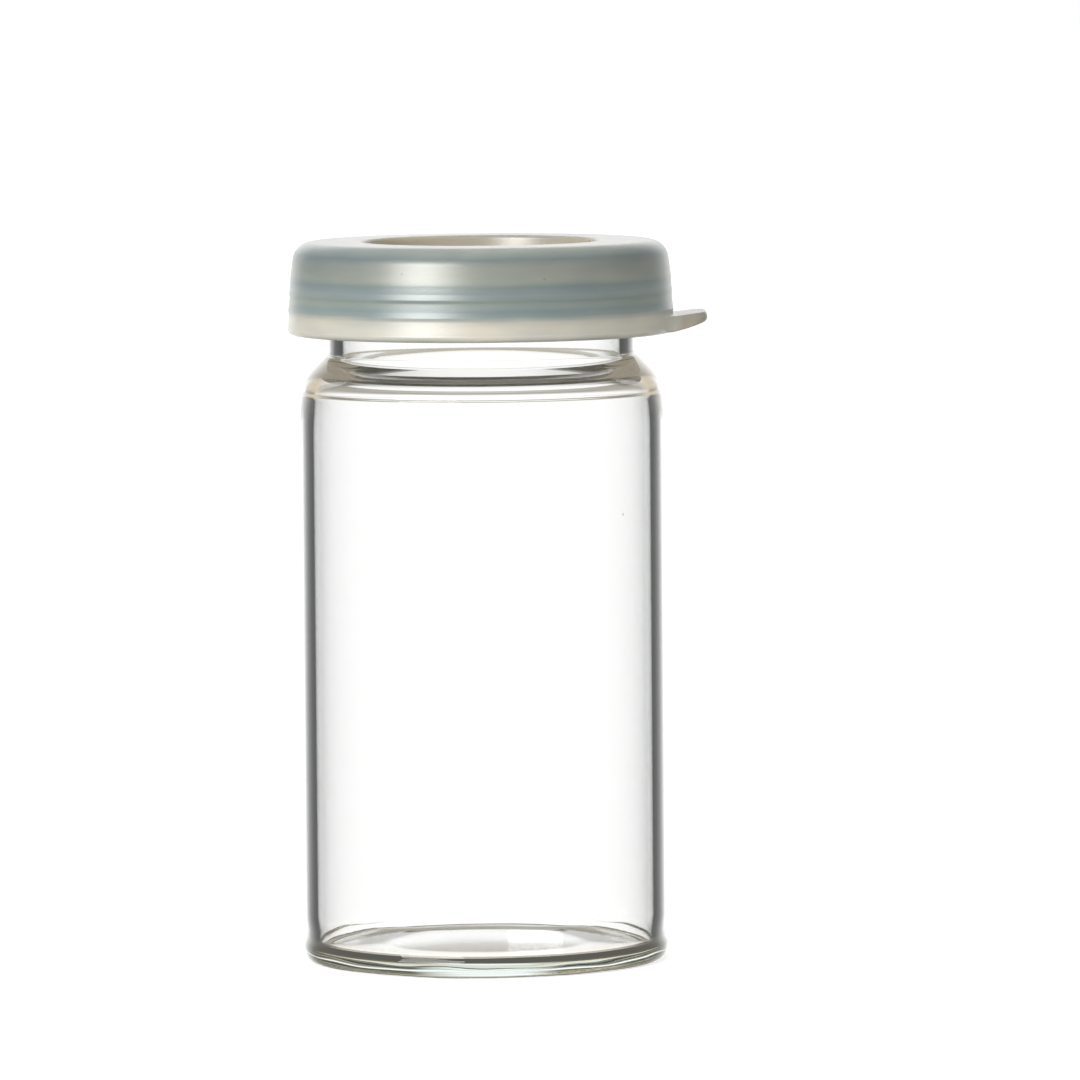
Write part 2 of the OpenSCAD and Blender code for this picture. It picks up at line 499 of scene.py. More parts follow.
def ray_facts(tree: Tree) -> dict[str, Socket]:
    """Adds a Light Path node to a tree.

    Args:
        tree: The node tree.

    Returns:
        The sockets that the backdrop group's first four inputs take.
    """
    path = tree.nodes.new("ShaderNodeLightPath").outputs
    return {"Camera": path["Is Camera Ray"], "Diffuse": path["Diffuse Depth"], "Glossy": path["Glossy Depth"],
            "Through": path["Transmission Depth"]}


# ---------------------------------------------------------------- finishes


def empty_material(name: str) -> tuple[bpy.types.Material, Tree, Node]:
    """Makes a material that holds only its output.

    Args:
        name: Name of the material.

    Returns:
        The material, its node tree and its output node.
    """
    material = bpy.data.materials.new(name)
    material.use_nodes = True
    tree = material.node_tree
    tree.nodes.clear()
    return material, tree, tree.nodes.new("ShaderNodeOutputMaterial")


@dataclass(frozen=True)
class ClearGlass:
    """Drawn tube glass: clear, a little green in its depth, with a few specks and faint draw lines."""

    ior: float = 1.5
    tint: Colour = (0.80, 0.93, 0.88)
    density: float = 25.0
    specks_per_metre: float = 420.0
    speck_size: float = 0.035
    speck_share: float = 0.02
    speck_colour: Colour = (0.30, 0.29, 0.27)
    speck_roughness: float = 0.5
    ripple: float = 0.00002
    ripple_waves: float = 60.0
    ripple_stretch: Colour = (1.0, 1.0, 0.2)
    last_bounce: float = 3.5
    last_light_z: float = 50.0
    last_light: Stops = ((0.0, (0.055, 0.050, 0.043)), (0.76, (0.05, 0.05, 0.045)), (0.80, (0.17, 0.145, 0.115)),
                         (1.0, (0.17, 0.145, 0.115)))

    def material(self, specks: Tree) -> bpy.types.Material:
        """Builds the glass material.

        The renderer drops light after its last mirrored bounce, which would leave black wedges. Past last_bounce the
        surface gives off last_light instead, by its height. It stands for the dropped light: real glass has no glow.

        Args:
            specks: The group of sparse specks.

        Returns:
            The material.
        """
        material, tree, output = empty_material("clear_glass")
        place = object_place(tree)
        dust = placed(tree, specks, {"Place": place, "Cells": self.specks_per_metre, "Size": self.speck_size,
                                     "Share": self.speck_share})["Mask"]
        glow = ramp(tree, self.last_light, spread(tree, parted(tree, place)["Z"], 0.0, self.last_light_z * MM))
        bounces = tree.nodes.new("ShaderNodeLightPath").outputs["Glossy Depth"]
        glow = mixed(tree, sums(tree, "GREATER_THAN", bounces, self.last_bounce), (0.0, 0.0, 0.0), glow)
        lines = noise(tree, place, self.ripple_waves, 1.0, self.ripple_stretch)
        shader = add(tree, "ShaderNodeBsdfPrincipled", {
            "Transmission Weight": 1.0, "IOR": self.ior,
            "Base Color": mixed(tree, dust, (1.0, 1.0, 1.0), self.speck_colour),
            "Roughness": spread(tree, dust, 0.0, 1.0, 0.0, self.speck_roughness),
            "Emission Color": glow, "Emission Strength": 1.0, "Normal": bumped(tree, lines, self.ripple)})
        material.cycles.emission_sampling = "NONE"
        depth = add(tree, "ShaderNodeVolumeAbsorption", {"Color": self.tint, "Density": self.density})
        fill(tree, output, {"Surface": shader.outputs["BSDF"], "Volume": depth.outputs["Volume"]})
        return material


@dataclass(frozen=True)
class MilkyPlastic:
    """Low-density polyethylene: milky and frosted. It shows painted light and shade: cool grey over the rim and warm
    where only air is behind it.

    The painted light and shade of the skirt stand in the bands, from its lower edge up, as shares of the cap's
    height: bright low down where light comes through, darker above the rings and grey over the rim. The real plastic
    has one colour, and shows what is behind it.
    """

    light_and_shade_bands: Stops = ((0.0, (0.44, 0.43, 0.38)), (0.04, (0.60, 0.585, 0.52)), (0.15, (0.60, 0.58, 0.51)),
                    (0.205, (0.55, 0.535, 0.47)), (0.25, (0.38, 0.40, 0.37)), (0.275, (0.26, 0.32, 0.315)),
                    (0.33, (0.22, 0.285, 0.295)), (0.38, (0.28, 0.325, 0.30)), (0.44, (0.24, 0.29, 0.27)),
                    (0.50, (0.26, 0.315, 0.32)), (0.58, (0.20, 0.255, 0.255)), (0.65, (0.29, 0.32, 0.285)),
                    (0.80, (0.265, 0.285, 0.26)), (0.88, (0.20, 0.245, 0.25)), (0.95, (0.34, 0.39, 0.37)),
                    (1.0, (0.52, 0.54, 0.51)))
    # inside is painted warm light that comes through the plastic in the recess; the real plastic has one colour.
    inside: Colour = (0.54, 0.49, 0.40)
    # tab is a painted darker warm tone that stands for the light coming through the thin tab.
    tab: Colour = (0.42, 0.38, 0.31)
    clouds: Stops = ((0.32, (0.86, 0.90, 0.93)), (0.5, (1.0, 1.0, 1.0)), (0.68, (1.16, 1.13, 1.08)))
    cloud_waves: float = 170.0
    cloud_stretch: Colour = (0.6, 0.6, 2.6)
    band_shift: float = 0.06
    band_waves: float = 260.0
    inside_fade: float = 0.5
    tab_fade: float = 0.6
    see_through: float = 0.3
    scatter: float = 0.5
    scatter_depth: float = 0.6
    ior: float = 1.5
    roughness: float = 0.355
    roughness_play: float = 0.015
    gloss: float = 1.0
    skin: float = 0.35
    skin_roughness: float = 0.22
    grain_height: float = 0.000008
    grain_waves: float = 5000.0
    patch_waves: float = 160.0
    specks_per_metre: float = 900.0
    speck_size: float = 0.10
    speck_share: float = 0.05
    speck_strength: float = 0.45
    speck_colour: Colour = (0.16, 0.13, 0.10)

    def material(self, grain: Tree, specks: Tree, low_z: float, high_z: float,
                 recess_r: float, skirt_r: float) -> bpy.types.Material:
        """Builds the cap's material.

        Args:
            grain: The group of fine grain.
            specks: The group of sparse specks.
            low_z: Height of the cap's lower edge.
            high_z: Height of the cap's top.
            recess_r: Radius of the recess.
            skirt_r: Radius of the skirt at its foot.

        Returns:
            The material.
        """
        material, tree, output = empty_material("milky_plastic")
        place = object_place(tree)
        parts = parted(tree, place)
        surface = placed(tree, grain, {"Place": place, "Fine": self.grain_waves, "Slow": self.patch_waves})
        shift = spread(tree, noise(tree, place, self.band_waves, 2.0), 0.3, 0.7, -self.band_shift * MM,
                       self.band_shift * MM)
        height = sums(tree, "ADD", parts["Z"], shift)
        # The skirt's colour by height is painted light and shade, not the plastic's own colour.
        colour = ramp(tree, self.light_and_shade_bands, spread(tree, height, low_z * MM, high_z * MM))
        across = sums(tree, "MULTIPLY", parts["X"], parts["X"])
        radius = sums(tree, "SQRT", sums(tree, "MULTIPLY_ADD", parts["Y"], parts["Y"], across))
        # Paints the warm light inside the recess.
        inward = spread(tree, radius, recess_r * MM, (recess_r + self.inside_fade) * MM, 1.0, 0.0)
        colour = mixed(tree, inward, colour, self.inside)
        # Paints the light through the tab.
        outward = spread(tree, parts["X"], skirt_r * MM, (skirt_r + self.tab_fade) * MM)
        colour = mixed(tree, outward, colour, self.tab)
        cloud = ramp(tree, self.clouds, noise(tree, place, self.cloud_waves, 3.0, self.cloud_stretch))
        colour = mixed(tree, 1.0, colour, cloud, "MULTIPLY")
        dust = placed(tree, specks, {"Place": place, "Cells": self.specks_per_metre, "Size": self.speck_size,
                                     "Share": self.speck_share})["Mask"]
        shader = add(tree, "ShaderNodeBsdfPrincipled", {
            "Base Color": mixed(tree, sums(tree, "MULTIPLY", dust, self.speck_strength), colour, self.speck_colour),
            "Roughness": spread(tree, surface["Patches"], 0.3, 0.7, self.roughness - self.roughness_play,
                                self.roughness + self.roughness_play),
            "Transmission Weight": self.see_through, "IOR": self.ior, "Specular IOR Level": self.gloss,
            "Subsurface Weight": self.scatter, "Subsurface Radius": (1.0, 1.0, 1.0),
            "Subsurface Scale": self.scatter_depth * MM,
            "Coat Weight": self.skin, "Coat Roughness": self.skin_roughness,
            "Normal": bumped(tree, surface["Height"], self.grain_height)})
        fill(tree, output, {"Surface": shader.outputs["BSDF"]})
        return material


# ---------------------------------------------------------------- the vial


@dataclass
class GlassVial:
    """The glass body: base with a push-up, straight wall, shoulder, neck and rolled rim, formed as one piece."""

    body_r: float = 13.0
    wall: float = 0.95
    height: float = 50.0
    neck_r: float = 11.05
    mouth_r: float = 9.9
    rim_r: float = 12.0
    shoulder_z: float = 43.35
    soft_r: float = 17.4
    soft_z: float = 38.293
    soft_turn: float = 8.0
    tight_x: float = 9.860
    tight_z: float = 40.2975
    tight_r: float = 3.0
    slope: float = 45.0
    fillet_r: float = 0.3
    neck_mid_z: float = 43.5
    rim_low_z: float = 46.1
    rim_z: float = 47.0
    rim_round: float = 0.8
    mouth_round: float = 0.7
    floor_z: float = 1.1
    floor_edge_z: float = 1.25
    floor_middle_z: float = 1.5
    punt_r: float = 7.41
    punt_z: float = 0.5
    punt_edge_z: float = 0.275
    foot_r: float = 12.6
    foot_w: float = 1.1
    heel_z: float = 1.0
    heel_out: float = 0.04
    waist_in: float = 0.13
    waist_z: float = 1.7
    waist_end_z: float = 3.4
    inner_angle: float = 53.5
    inner_corner_r: float = 1.8
    corner_w: float = 1.0
    throat_fillet: float = 1.2
    bore_top_z: float = 40.2975
    heel_wave: float = 0.20
    heel_wave_z: float = 1.6
    heel_wave_fade: float = 0.5
    columns: int = 336
    finish: ClearGlass = field(default_factory=ClearGlass)

    def base_outside(self) -> np.ndarray:
        """Underside of the base, the heel and the shallow waist, going out and up.

        Returns:
            Points as rows of radius and height.
        """
        edge = self.body_r + self.heel_out
        return joined(
            dome(self.punt_r, self.punt_z, self.punt_edge_z, 14),
            straight(self.punt_r, self.punt_edge_z, self.foot_r - self.foot_w, 0.0, 5),
            straight(self.foot_r - self.foot_w, 0.0, self.foot_r, 0.0, 4),
            oval(self.foot_r, self.heel_z, edge - self.foot_r, self.heel_z, -90, 0, 18),
            sway(edge, self.heel_z, self.body_r - self.waist_in, self.waist_z, 8),
            sway(self.body_r - self.waist_in, self.waist_z, self.body_r, self.waist_end_z, 10),
        )

    def shoulder_outside(self) -> np.ndarray:
        """Soft round, tight round, slope and the small fillet at the foot of the neck.

        Returns:
            Points as rows of radius and height.
        """
        tight = arc(self.tight_x, self.tight_z, self.tight_r, self.soft_turn, self.slope, 14)
        round_r = self.fillet_r
        fillet = arc(self.neck_r + round_r, self.shoulder_z + round_r * np.tan(np.radians(self.slope) / 2), round_r,
                     180 + self.slope, 180, 5)
        return joined(arc(self.body_r - self.soft_r, self.soft_z, self.soft_r, 0, self.soft_turn, 10), tight,
                      straight(*tight[-1], *fillet[0], 8), fillet)

    def rim(self) -> np.ndarray:
        """Curved underside, straight band and fire-polished top of the rim, over into the mouth.

        Returns:
            Points as rows of radius and height.
        """
        return joined(
            sway(self.neck_r, self.rim_low_z, self.rim_r, self.rim_z, 10),
            straight(self.rim_r, self.rim_z, self.rim_r, self.height - self.rim_round, 6),
            arc(self.rim_r - self.rim_round, self.height - self.rim_round, self.rim_round, 0, 90, 10),
            arc(self.mouth_r + self.mouth_round, self.height - self.mouth_round, self.mouth_round, 90, 180, 10),
        )

    def throat_z(self) -> float:
        """Height at which the mouth's wall ends, so that the throat and the corner are joined by one slope.

        Returns:
            The height.
        """
        turn = np.radians(self.inner_angle)
        rounds = self.inner_corner_r + self.throat_fillet
        run = self.body_r - self.wall - self.mouth_r - rounds * (1 - np.cos(turn))
        return float(self.bore_top_z + rounds * np.sin(turn) + run / np.tan(turn))

    def inside(self) -> np.ndarray:
        """Mouth, throat, slope, round, bore, waist, lower corner and domed floor, going down to the axis.

        Returns:
            Points as rows of radius and height.
        """
        bore = self.body_r - self.wall
        throat_z, top = self.throat_z(), self.height - self.mouth_round
        throat = arc(self.mouth_r + self.throat_fillet, throat_z, self.throat_fillet, 180, 180 + self.inner_angle, 16)
        corner = arc(bore - self.inner_corner_r, self.bore_top_z, self.inner_corner_r, self.inner_angle, 0, 20)
        return joined(
            straight(self.mouth_r, top, self.mouth_r, throat_z, 8),
            throat,
            straight(*throat[-1], *corner[0], 10),
            corner,
            straight(bore, self.bore_top_z, bore, self.waist_end_z, 26),
            sway(bore, self.waist_end_z, bore - self.waist_in, self.waist_z, 8),
            oval(bore - self.corner_w, self.waist_z, self.corner_w - self.waist_in, self.waist_z - self.floor_z,
                 0, -90, 18),
            straight(bore - self.corner_w, self.floor_z, self.punt_r, self.floor_edge_z, 5),
            dome(self.punt_r, self.floor_middle_z, self.floor_edge_z, 14)[::-1],
        )

    def section(self) -> np.ndarray:
        """Whole section, from the middle of the underside round to the middle of the floor.

        Returns:
            Points as rows of radius and height.
        """
        outside = joined(self.base_outside(), straight(self.body_r, self.waist_end_z, self.body_r, self.soft_z, 26),
                         self.shoulder_outside(),
                         straight(self.neck_r, self.neck_mid_z, self.neck_r, self.rim_low_z, 5), self.rim())
        return joined(outside, self.inside())

    def unevened(self, grid: np.ndarray, angles: np.ndarray) -> np.ndarray:
        """Makes the foot and the heel a little uneven, as flame-formed glass is.

        The points of the underside rise by heel_wave (1 + s) / 4 and move out by heel_wave s / 3, where s is
        0.5 sin(5a + z + 0.6) + 0.35 sin(9a - z + 2.1) + 0.15 sin(17a + 2z + 4). Both fade to nothing at the
        heel's top and inside the foot ring.

        Args:
            grid: Rows of the base's outside by columns by three.
            angles: Angles of the columns in radians.

        Returns:
            The moved points.
        """
        z = grid[..., 2]
        s = (0.5 * np.sin(5 * angles + z + 0.6) + 0.35 * np.sin(9 * angles - z + 2.1)
             + 0.15 * np.sin(17 * angles + 2 * z + 4.0))
        r = np.hypot(grid[..., 0], grid[..., 1])
        inner, fade = self.foot_r - self.foot_w, self.heel_wave_fade
        share = np.clip((r - inner + fade) / fade, 0.0, 1.0) * np.clip(1 - z / self.heel_wave_z, 0.0, 1.0)
        out = 1 + self.heel_wave / 3 * s * share / np.maximum(r, 1.0)
        lift = self.heel_wave * (1 + s) / 4 * share
        return np.stack((grid[..., 0] * out, grid[..., 1] * out, grid[..., 2] + lift), axis=-1)

    def build(self, specks: Tree) -> Thing:
        """Builds and dresses the vial.

        Args:
            specks: The group of sparse specks.

        Returns:
            The vial's object.
        """
        angles = np.linspace(0.0, 2 * np.pi, self.columns, endpoint=False)
        grid = turned(self.section(), angles)
        base = len(self.base_outside())
        grid[:base] = self.unevened(grid[:base], angles)
        piece = closed_mesh("vial_glass", grid)
        piece.data.materials.append(self.finish.material(specks))
        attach(piece, Body.VIAL.value)
        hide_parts(CadNode.VIAL.value)
        return piece


# ---------------------------------------------------------------- the cap


@dataclass
class LiftTab:
    """The thumb tab on the cap's lower edge, as an outline that the skirt's outside is drawn out to."""

    reach: float = 2.3
    width: float = 6.6
    corner_r: float = 1.5
    flare_r: float = 1.6
    root_t: float = 1.25
    tip_t: float = 0.75
    rise: float = 7.0
    low_z: float = 0.1
    edge_round: float = 0.22
    underside_bend: float = 1.25
    soften_reach: float = 0.6
    blend_turn: float = 4.0
    side_steps: int = 10
    edge_steps: int = 8

    def plan(self, skirt_r: float) -> np.ndarray:
        """Half plan of the tab, from the skirt to the middle of its tip, as rows of x and y.

        Args:
            skirt_r: Radius of the skirt.

        Returns:
            Points as rows of x and y.
        """
        flare_y = self.width / 2 + self.flare_r
        flare_x = np.sqrt((skirt_r + self.flare_r) ** 2 - flare_y ** 2)
        turn = np.degrees(np.arctan2(flare_y, flare_x))
        corner_x = skirt_r + self.reach - self.corner_r
        return joined(arc(flare_x, flare_y, self.flare_r, 180 + turn, 270, 24),
                      arc(corner_x, self.width / 2 - self.corner_r, self.corner_r, 90, 0, 24),
                      np.array([[skirt_r + self.reach, 0.0]]))

    def reaches(self, skirt_r: float, angles: np.ndarray) -> np.ndarray:
        """How far the plan stands out of the skirt at each angle.

        Args:
            skirt_r: Radius of the skirt.
            angles: Angles in radians, from -pi to pi.

        Returns:
            Distance past the skirt, 0 away from the tab.
        """
        plan = self.plan(skirt_r)
        at, far = np.arctan2(plan[:, 1], plan[:, 0]), np.hypot(plan[:, 0], plan[:, 1])
        return np.clip(np.interp(np.abs(angles), at[::-1], far[::-1], right=skirt_r) - skirt_r, 0.0, None)

    def start_angle(self, skirt_r: float) -> float:
        """Angle at which the plan leaves the skirt, in radians."""
        plan = self.plan(skirt_r)
        return float(np.arctan2(plan[0, 1], plan[0, 0]))


@dataclass
class SnapCap:
    """The moulded cap in one piece: skirt with two rings and a snap bead, hollow plug, recess and lift tab."""

    low_z: float = 44.85
    height: float = 6.6
    ceiling: float = 5.2
    skirt_r: float = 13.82
    draft: float = 3.5
    edge_r: float = 1.4
    lip_r: float = 0.45
    inner_lip_r: float = 0.2
    lead_in_r: float = 12.52
    skirt_in_r: float = 12.42
    snap_r: float = 12.08
    snap_z: float = 1.75
    snap_h: float = 1.1
    ring_heights: tuple[float, ...] = (1.74, 3.00)
    ring_out: float = 0.04
    ring_rise: float = 0.28
    ring_fall: float = 0.36
    ring_drop: float = 0.065
    lean_z: float = 4.0
    lean: float = 7.0
    lean_out: float = 0.01
    plug_z: float = 0.8
    plug_r: float = 9.75
    plug_taper: float = 0.3
    plug_round: float = 0.7
    seal_r: float = 9.85
    seal_z: float = 3.6
    seal_h: float = 1.0
    groove_r: float = 0.35
    recess_r: float = 8.4
    recess_z: float = 1.8
    recess_taper: float = 0.25
    recess_round: float = 0.6
    recess_lip: float = 0.25
    gate_r: float = 0.9
    gate_h: float = 0.25
    gate_round: float = 0.1
    columns: int = 168
    tab_columns: int = 110
    tab_span: float = 25.0
    sweep_share: float = 0.6
    tab: LiftTab = field(default_factory=LiftTab)
    finish: MilkyPlastic = field(default_factory=MilkyPlastic)

    def skirt_at(self, z: float | np.ndarray) -> float | np.ndarray:
        """Radius of the skirt's outside: the lip's round up to its height, then a line that leans in by the draft."""
        lip = self.skirt_r - self.lip_r + np.sqrt(np.clip(self.lip_r ** 2 - (self.lip_r - z) ** 2, 0.0, None))
        return np.where(z < self.lip_r, lip, self.skirt_r - z * np.tan(np.radians(self.draft)))

    def underside(self) -> np.ndarray:
        """Plug, groove and the inside of the skirt, from the axis out to the lower edge.

        Returns:
            Points as rows of radius and height.
        """
        plug_low = self.plug_r - self.plug_taper
        top = self.ceiling - self.groove_r
        return joined(
            straight(0.0, self.plug_z, plug_low - self.plug_round, self.plug_z, 10),
            arc(plug_low - self.plug_round, self.plug_z + self.plug_round, self.plug_round, -90, 0, 8),
            straight(plug_low, self.plug_z + self.plug_round, self.plug_r, self.seal_z - self.seal_h / 2, 5),
            bead(self.plug_r, self.seal_r, self.plug_r, self.seal_z, self.seal_h, 8),
            arc(self.plug_r + self.groove_r, top, self.groove_r, 180, 90, 6),
            straight(self.plug_r + self.groove_r, self.ceiling, self.skirt_in_r - self.groove_r, self.ceiling, 5),
            arc(self.skirt_in_r - self.groove_r, top, self.groove_r, 90, 0, 6),
            bead(self.lead_in_r, self.snap_r, self.skirt_in_r, self.snap_z, self.snap_h, 10)[::-1],
            arc(self.lead_in_r + self.inner_lip_r, self.inner_lip_r, self.inner_lip_r, 180, 270, 5),
        )

    def lower_lip(self) -> np.ndarray:
        """Lower edge, out to where the tab's underside starts.

        Returns:
            Points as rows of radius and height.
        """
        start = np.degrees(np.arcsin((self.tab.low_z - self.lip_r) / self.lip_r))
        edge = arc(self.skirt_r - self.lip_r, self.lip_r, self.lip_r, -90, start, 5)
        return joined(straight(self.lead_in_r + self.inner_lip_r, 0.0, edge[0, 0], 0.0, 4), edge)

    def upper_outside(self) -> np.ndarray:
        """Skirt above the tab: two rings that rise steeply and fall slowly, then the leaning band and the top.

        Returns:
            Points as rows of radius and height.
        """
        r, z = float(self.skirt_at(self.tab.root_t)), self.tab.root_t
        runs = []
        slope = np.tan(np.radians(self.draft))
        for ring in self.ring_heights:
            crest = float(self.skirt_at(ring)) + self.ring_out
            low = ring - self.ring_rise
            foot = r - (low - z) * slope
            runs.append(straight(r, z, foot, low, 5))
            runs.append(sway(foot, low, crest, ring, 8))
            r, z = crest - self.ring_drop, ring + self.ring_fall
            runs.append(straight(crest, ring, r, z, 7))
        lean_r = float(self.skirt_at(self.lean_z)) + self.lean_out
        edge_z = self.height - self.edge_r
        turn = np.radians(self.lean)
        end_z = edge_z + self.edge_r * np.sin(turn)
        end_r = lean_r - (end_z - self.lean_z) * np.tan(turn)
        edge_x = end_r - self.edge_r * np.cos(turn)
        runs.append(sway(r, z, lean_r, self.lean_z, 8))
        runs.append(straight(lean_r, self.lean_z, end_r, end_z, 6))
        runs.append(arc(edge_x, edge_z, self.edge_r, self.lean, 90, 16))
        runs.append(straight(edge_x, self.height, self.recess_r + self.recess_lip, self.height, 6))
        return joined(*runs)

    def recess(self) -> np.ndarray:
        """Lip, tapered wall, rounded floor and gate mark of the recess, going in to the axis.

        Returns:
            Points as rows of radius and height.
        """
        wall_low = self.recess_r - self.recess_taper
        floor, mark, soft = self.recess_z, self.recess_z + self.gate_h, self.gate_round
        return joined(
            arc(self.recess_r + self.recess_lip, self.height - self.recess_lip, self.recess_lip, 90, 180, 6),
            straight(self.recess_r, self.height - self.recess_lip, wall_low, floor + self.recess_round, 6),
            arc(wall_low - self.recess_round, floor + self.recess_round, self.recess_round, 0, -90, 8),
            straight(wall_low - self.recess_round, floor, self.gate_r + soft, floor, 8),
            arc(self.gate_r + soft, floor + soft, soft, 270, 180, 4),
            arc(self.gate_r - soft, mark - soft, soft, 0, 90, 4),
            straight(self.gate_r - soft, mark, 0.0, mark, 4),
        )

    def angles(self) -> np.ndarray:
        """Angles of the columns, closer together across the tab.

        Returns:
            Angles in radians.
        """
        span = np.radians(self.tab_span)
        near = np.linspace(-span, span, self.tab_columns, endpoint=False)
        return np.concatenate((near, np.linspace(span, 2 * np.pi - span, self.columns, endpoint=False)))

    def tab_rows(self, angles: np.ndarray) -> np.ndarray:
        """Stretch of the outside that the tab is drawn out of.

        Away from the tab the rows lie on the skirt between the tab's lowest height and its root's top. Across the tab
        the first rows run out along the underside, z = low + (tip - low) share^1.25, the next go round the edge on a
        half ellipse, and the last come back along the upper face, z = root + (x - skirt) tan(rise).

        Args:
            angles: Angles of the columns in radians.

        Returns:
            Grid of points, rows by columns by three.
        """
        tab = self.tab
        a = (angles + np.pi) % (2 * np.pi) - np.pi
        reach = tab.reaches(self.skirt_r, a)
        tip_x = self.skirt_r + tab.reach - tab.edge_round
        top_z = tab.root_t + tab.reach * np.tan(np.radians(tab.rise))
        sweep_x = self.skirt_r - self.sweep_share * self.lip_r

        def under(x: np.ndarray) -> np.ndarray:
            """Height of the underside at x."""
            share = np.clip((x - sweep_x) / (tip_x - sweep_x), 0.0, 1.0)
            return tab.low_z + (top_z - tab.tip_t - tab.low_z) * share ** tab.underside_bend

        def upper(x: np.ndarray) -> np.ndarray:
            """Height of the upper face at x."""
            return tab.root_t + np.clip(x - self.skirt_r, 0.0, None) * np.tan(np.radians(tab.rise))

        softened = tab.edge_round * np.clip(reach / tab.soften_reach, 0.0, 1.0)
        share = np.linspace(0.0, 1.0, tab.side_steps + 1)[:, None]
        low_r = float(self.skirt_at(tab.low_z))
        high_r = float(self.skirt_at(tab.root_t))
        full = np.clip(reach, 0.0, 1.0)

        def edge_r(z: np.ndarray) -> np.ndarray:
            """Radius of the tab's edge at height z: the skirt's own, and the plan's as the tab stands out."""
            skirt = self.skirt_at(z)
            return skirt + reach + (self.skirt_r - skirt) * full

        start_r = edge_r(np.full_like(reach, tab.low_z)) - softened
        out_r = low_r + (start_r - low_r) * share
        rows_under = (out_r, under(out_r * np.cos(a)))
        back_r = high_r + (edge_r(upper(start_r * np.cos(a))) - softened - high_r) * share[::-1]
        rows_upper = (back_r, upper(back_r * np.cos(a)))
        turn = np.linspace(-90.0, 90.0, tab.edge_steps + 1)[1:-1, None]
        sine, cosine = np.sin(np.radians(turn)), np.cos(np.radians(turn))
        z_low, z_high = rows_under[1][-1], rows_upper[1][0]
        z_edge = (z_low + z_high) / 2 + (z_high - z_low) / 2 * sine
        rows_edge = (edge_r(z_edge) - softened * (1 - cosine), z_edge)
        r = np.vstack((rows_under[0], rows_edge[0], rows_upper[0]))
        z = np.vstack((rows_under[1], rows_edge[1], rows_upper[1]))
        plain_z = tab.low_z + (tab.root_t - tab.low_z) * np.linspace(0.0, 1.0, len(r))[:, None] + 0 * a
        turn = np.radians(tab.blend_turn)
        blend = np.clip((tab.start_angle(self.skirt_r) + turn - np.abs(a)) / turn, 0.0, 1.0)
        z = plain_z + (z - plain_z) * blend
        r = np.where(reach > 0.0, r, self.skirt_at(z))
        return np.stack((r * np.cos(angles), r * np.sin(angles), z), axis=-1)

    def build(self, grain: Tree, specks: Tree) -> Thing:
        """Builds and dresses the cap.

        Args:
            grain: The group of fine grain.
            specks: The group of sparse specks.

        Returns:
            The cap's object.
        """
        angles = self.angles()
        grid = np.concatenate((
            turned(joined(self.underside(), self.lower_lip()), angles)[:-1],
            self.tab_rows(angles),
            turned(joined(self.upper_outside(), self.recess()), angles)[1:],
        ))
        grid[..., 2] += self.low_z
        piece = closed_mesh("snap_cap_moulded", grid)
        piece.data.materials.append(self.finish.material(grain, specks, self.low_z, self.low_z + self.height,
                                                         self.recess_r, self.skirt_r))
        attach(piece, Body.CAP.value)
        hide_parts(CadNode.CAP.value)
        return piece


# ---------------------------------------------------------------- the studio


@dataclass(frozen=True)
class Lamp:
    """A soft rectangular lamp that faces the object."""

    name: str
    azimuth: float
    elevation: float
    distance: float
    width: float
    height: float
    watts: float
    colour: Colour = (1.0, 1.0, 1.0)

    def place(self, aim: Vector) -> Thing:
        """Makes the lamp and turns it to the aim, with the azimuth counted from the camera's side.

        Args:
            aim: Point that the lamp faces, in metres.

        Returns:
            The lamp's object.
        """
        light = bpy.data.lights.new(self.name, "AREA")
        light.shape = "RECTANGLE"
        light.size, light.size_y = self.width, self.height
        light.energy = self.watts
        light.color = self.colour
        a, e = np.radians(self.azimuth), np.radians(self.elevation)
        away = Vector((np.sin(a) * np.cos(e), -np.cos(a) * np.cos(e), np.sin(e)))
        lamp = bpy.data.objects.new(self.name, light)
        lamp.location = aim + away * self.distance
        lamp.rotation_euler = away.to_track_quat("Z", "Y").to_euler()
        lamp.visible_camera = False
        bpy.context.scene.collection.objects.link(lamp)
        return lamp


@dataclass(frozen=True)
class StudioCamera:
    """The camera, level with the cap and looking slightly down, with its roll and its aim beside the middle."""

    distance: float = 667.9
    height: float = 80.95
    down: float = 4.364
    right: float = 0.351
    roll: float = 0.439
    lens: float = 312.24

    def place(self) -> Thing:
        """Makes the camera and sets it as the scene's.

        Returns:
            The camera's object.
        """
        data = bpy.data.cameras.new("studio_camera")
        data.lens = self.lens
        data.sensor_width = 36.0
        data.clip_start, data.clip_end = 0.01, 20.0
        camera = bpy.data.objects.new("studio_camera", data)
        camera.location = (0.0, -self.distance * MM, self.height * MM)
        turn = (Euler((0, 0, np.radians(-self.right))).to_matrix()
                @ Euler((np.radians(90 - self.down), 0, 0)).to_matrix()
                @ Euler((0, 0, np.radians(-self.roll))).to_matrix())
        camera.rotation_euler = turn.to_euler()
        bpy.context.scene.collection.objects.link(camera)
        bpy.context.scene.camera = camera
        return camera


